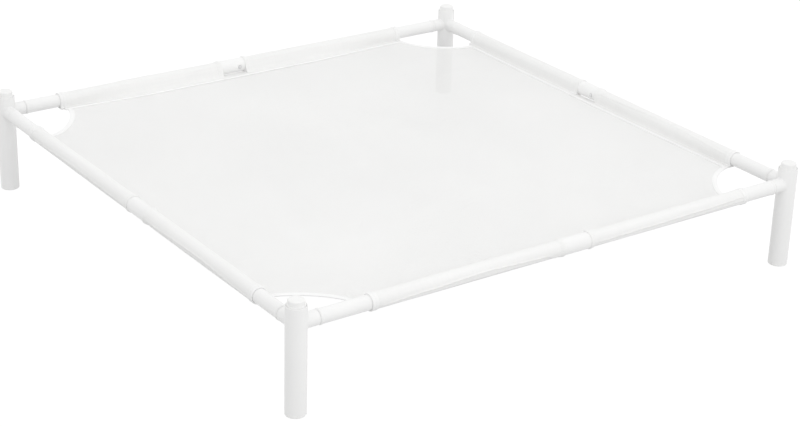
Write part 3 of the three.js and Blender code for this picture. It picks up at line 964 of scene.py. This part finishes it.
cell = 9.0
grid_pts = []
n_cells = int(2 * (HALF - PANEL_EDGE) / cell)
edge_in = HALF - PANEL_EDGE - 3.0
for i in range(-n_cells // 2, n_cells // 2 + 1):
    for j in range(-n_cells // 2, n_cells // 2 + 1):
        x, y = i * cell, j * cell
        if abs(x) > edge_in or abs(y) > edge_in:
            continue
        d = math.hypot(abs(x) - HALF, abs(y) - HALF)
        if d < 117.5:
            continue
        grid_pts.append((x, y))
n_o = len(outline)
V2, E2, F2, _, _, _ = delaunay_2d_cdt([Vector(p) for p in outline + grid_pts], [(i, (i + 1) % n_o) for i in range(n_o)], [], 1, 1e-4)
t_p = 0.15
top, bot = [], []
for p in V2:
    z = RAIL_Z + PANEL_W + sag(p.x, p.y)
    top.append((p.x, p.y, z + t_p / 2))
    bot.append((p.x, p.y, z - t_p / 2))
nv = len(top)
faces = [tuple(f) for f in F2] + [tuple(i + nv for i in reversed(f)) for f in F2]
count = {}
for f in F2:
    for a, b in zip(f, list(f[1:]) + [f[0]]):
        count[(a, b)] = 1
for (a, b) in list(count):
    if (b, a) not in count:
        faces.append((b, a, a + nv, b + nv))
panel = build("sling_mesh_panel", top + bot, faces, M_PANEL, Matrix.Identity(4), "mesh_cloth", replaces=["sling_panel"], angle=60)
for f in F2:
    for i in range(1, len(f) - 1):
        a, b, c = V2[f[0]], V2[f[i]], V2[f[i + 1]]


def sweep(points, section, name, mat, slot, replaces=()):
    """points: centre line in mm in the bed's frame; section: [(across, up)] closed."""
    P = np.array(points)
    T = np.gradient(P, axis=0)
    T /= np.linalg.norm(T, axis=1)[:, None]
    L = np.concatenate([[0], np.cumsum(np.linalg.norm(np.diff(P, axis=0), axis=1))])
    verts, uv, faces = [], [], []
    n = len(section)
    for i in range(len(P)):
        side = np.cross(T[i], (0, 0, 1)); side /= np.linalg.norm(side)
        upv = np.cross(side, T[i])
        grow = min(1.0, 0.35 + 0.65 * math.sin(min(1.0, min(i, len(P) - 1 - i) / 2.0) * math.pi / 2))
        acc = 0.0
        for j, (a, b) in enumerate(section):
            v = P[i] + side * a * grow + upv * b * grow
            verts.append(tuple(v))
            if j:
                acc += math.dist(section[j], section[j - 1])
            uv.append((L[i] * MM, acc * MM))
    for i in range(len(P) - 1):
        for j in range(n):
            jj = (j + 1) % n
            faces.append((i * n + j, i * n + jj, (i + 1) * n + jj, (i + 1) * n + j))
    faces.append(tuple(range(n)))
    faces.append(tuple((len(P) - 1) * n + j for j in reversed(range(n))))
    return build(name, verts, faces, mat, Matrix.Identity(4), slot, replaces=replaces, angle=50, uv=uv)


TAPE_SECTION = fillet([(-4.0, -1.0), (4.0, -0.70), (4.0, 0.70), (-4.0, 1.0)], [0.9, 0.35, 0.35, 0.9], True, 4)
for k, c in enumerate(CORNERS):
    pts, rowt, rowb = [], [], []
    for i in range(61):
        t = -0.012 + 1.024 * i / 60
        wob = 0.18 * noise.noise(Vector((t * 9, k * 4.0, 1.5)))
        x, y = turn(k, corner_point(k, t, 3.2 + wob))
        z = RAIL_Z + PANEL_W + sag(x, y) * smooth(math.sin(math.pi * min(1, max(0, t))), 0, 0.4)
        pts.append((x, y, z))
        x, y = turn(k, corner_point(k, t, 4.9 + wob))
        rowt.append((x, y, z + 0.78))
        rowb.append((x, y, z - 0.78))
    sweep(pts, TAPE_SECTION, f"corner_tape_{c}", M_CORNER, "binding_tape", replaces=[f"corner_binding_{c}"])
    stitch_row(rowt[3:-3], [(0, 0, 1)] * 55, 4.0, 2.9, pieces[k])
    stitch_row(rowb[3:-3], [(0, 0, -1)] * 55, 4.0, 2.9, pieces[k])

# the hem runs on past each coupler as a folded strip on the panel's edge
for k, sd in enumerate(SIDES):
    m = side_matrix(k)
    ss = stations(SLEEVES[0][1] - 9, SLEEVES[1][0] + 9, 1.5)
    paths, n_fold = [], 6
    for s in ss:
        q = hem_line(s, k)
        x0 = q + LIP - 0.35
        xi = 8.6 + 0.25 * math.cos((s - 464) / 14.0)
        w_top, w_bot = HEM_TOP - 0.02, -LOOP_R - 0.05
        mid, rad = (w_top + w_bot) / 2, (w_top - w_bot) / 2
        pts = [(x0, w_top - 0.34), (x0 - 0.7, w_top - 0.2), (x0 - 1.8, w_top - 0.02), (x0 - 3.2, w_top), (xi + 2.5, w_top), (xi + 1.2, w_top)]
        for i in range(n_fold + 1):
            a = math.pi / 2 + math.pi * i / n_fold
            pts.append((xi + rad * (1 + math.cos(a)) - 0.0, mid + rad * math.sin(a)))
        pts += [(xi + 1.2, w_bot), (xi + 2.5, w_bot), (x0 - 3.2, w_bot), (x0, w_bot)]
        paths.append(pts)
    h = CLOTH_T / 2 - 0.05
    strip(paths, ss, -h, h, f"edge_fold_{sd}", M_SLEEVE, m, "mesh_cloth")
    run = [s for s in ss if SLEEVES[0][1] + 1 < s < SLEEVES[1][0] - 1]
    for du in (-1.75, 1.85):
        top_row = [(s, hem_line(s, k) + du, HEM_TOP + h + (0.34 if du > 0 else 0.0)) for s in run]
        stitch_row([m @ Vector(p) for p in top_row], [(0, 0, 1)] * len(run), 4.1, 3.0, pieces[k])
        low_row = [(s, hem_line(s, k) + du, -LOOP_R - 0.05 - h) for s in run]
        stitch_row([m @ Vector(p) for p in low_row], [(0, 0, -1)] * len(run), 4.1, 3.0, pieces[k])

# a soft tape folded over the hem's inner edge, from end to end of each side
for k, sd in enumerate(SIDES):
    m = side_matrix(k)
    ss = stations(SLEEVES[0][0] + 0.4, SLEEVES[1][1] - 0.4, 3.5)
    paths = []
    for s in ss:
        x0 = hem_line(s, k) + LIP
        soft = 0.10 * noise.noise(Vector((s / 9.0, 4.0 * k, 2.2)))
        paths.append([(x0 + 0.05, HEM_TOP - 0.66), (x0 + 0.03, HEM_TOP - 0.42), (x0 - 0.12, HEM_TOP - 0.16), (x0 - 0.5, HEM_TOP + 0.06 + soft),
                      (x0 - 1.1, HEM_TOP + 0.13 + soft), (x0 - 1.8, HEM_TOP + 0.13 + soft), (x0 - 2.5, HEM_TOP + 0.11), (x0 - 3.1, HEM_TOP + 0.04)])
    rise = ridge(ss[0] - 0.02, ss[-1] + 0.02, 0.36, 0.8)
    strip(paths, ss, 0.0, lambda s, rise=rise: 0.14 + rise(s), f"hem_edge_{sd}", M_CORNER, m, "binding_tape")

for k, sd in enumerate(SIDES):
    v, f = stitch_mesh(pieces[k])
    build(f"stitching_{sd}", v, f, M_THREAD, Matrix.Identity(4), "binding_tape", angle=70)


# ------------------------------------------------------------------ floor, world, lights
def floor():
    me = bpy.data.meshes.new("floor")
    n, r = 96, 9.0
    verts = [(0, 0, -0.0004)] + [(r * math.cos(2 * math.pi * i / n), r * math.sin(2 * math.pi * i / n), -0.0004) for i in range(n)]
    me.from_pydata(verts, [], [(0, 1 + i, 1 + (i + 1) % n) for i in range(n)])
    ob = bpy.data.objects.new("floor", me)
    bpy.context.scene.collection.objects.link(ob)
    m = Nodes("pale_floor")
    co = m.coords()
    big = m.noise(co, 1.2, 2)
    m.set(color=m.ramp(big, [(0.3, (0.13, 0.13, 0.13)), (0.7, (0.15, 0.15, 0.15))]), rough=0.9, spec=0.1)
    m.bsdf.inputs["Emission Color"].default_value = (1, 1, 1, 1)
    m.bsdf.inputs["Emission Strength"].default_value = 0.90
    me.materials.append(m.mat)
    ob.visible_diffuse = False       # the object is lit by the studio dome, not by the floor's own glow
    ob.visible_shadow = False


floor()
scene = bpy.context.scene
scene.view_settings.view_transform = "Standard"
scene.view_settings.look = "None"
scene.view_settings.exposure = 0.0
world = bpy.data.worlds.new("studio")
scene.world = world
world.use_nodes = True
wt = world.node_tree
bg = wt.nodes["Background"]
bg.inputs[0].default_value = (1, 1, 1, 1)
tc = wt.nodes.new("ShaderNodeTexCoord")
dot = wt.nodes.new("ShaderNodeVectorMath")
dot.operation = "DOT_PRODUCT"
dot.inputs[1].default_value = tuple(RIGHT)
wt.links.new(tc.outputs["Generated"], dot.inputs[0])
ma = wt.nodes.new("ShaderNodeMath")
ma.operation = "MULTIPLY_ADD"
ma.inputs[1].default_value = 0.05
wt.links.new(dot.outputs["Value"], ma.inputs[0])
sepw = wt.nodes.new("ShaderNodeSeparateXYZ")
wt.links.new(tc.outputs["Generated"], sepw.inputs[0])
band = wt.nodes.new("ShaderNodeMapRange")
for i, v in enumerate((-0.14, 0.04, 0.64, 1.03)):
    band.inputs[i + 1].default_value = v
wt.links.new(sepw.outputs[2], band.inputs[0])
wt.links.new(band.outputs[0], ma.inputs[2])
wt.links.new(ma.outputs[0], bg.inputs[1])


def softbox(name, place, target, size, power):
    li = bpy.data.lights.new(name, "AREA")
    li.shape = "RECTANGLE"
    li.size, li.size_y = size
    li.energy = power
    ob = bpy.data.objects.new(name, li)
    scene.collection.objects.link(ob)
    ob.location = place
    ob.rotation_euler = (Vector(target) - Vector(place)).to_track_quat("-Z", "Y").to_euler()
    return ob


centre = Vector((0, 0, 0.13))
flat_fwd = Vector((FWD.x, FWD.y, 0)).normalized()
softbox("key", centre - flat_fwd * 2.0 + RIGHT * 1.15 + Vector((0, 0, 0.8)), centre, (1.8, 1.4), 4.5)
softbox("top", centre + Vector((0, 0, 2.2)), centre, (2.4, 2.4), 2.0)

scene.cycles.transparent_max_bounces = 24

bpy.context.view_layer.update()
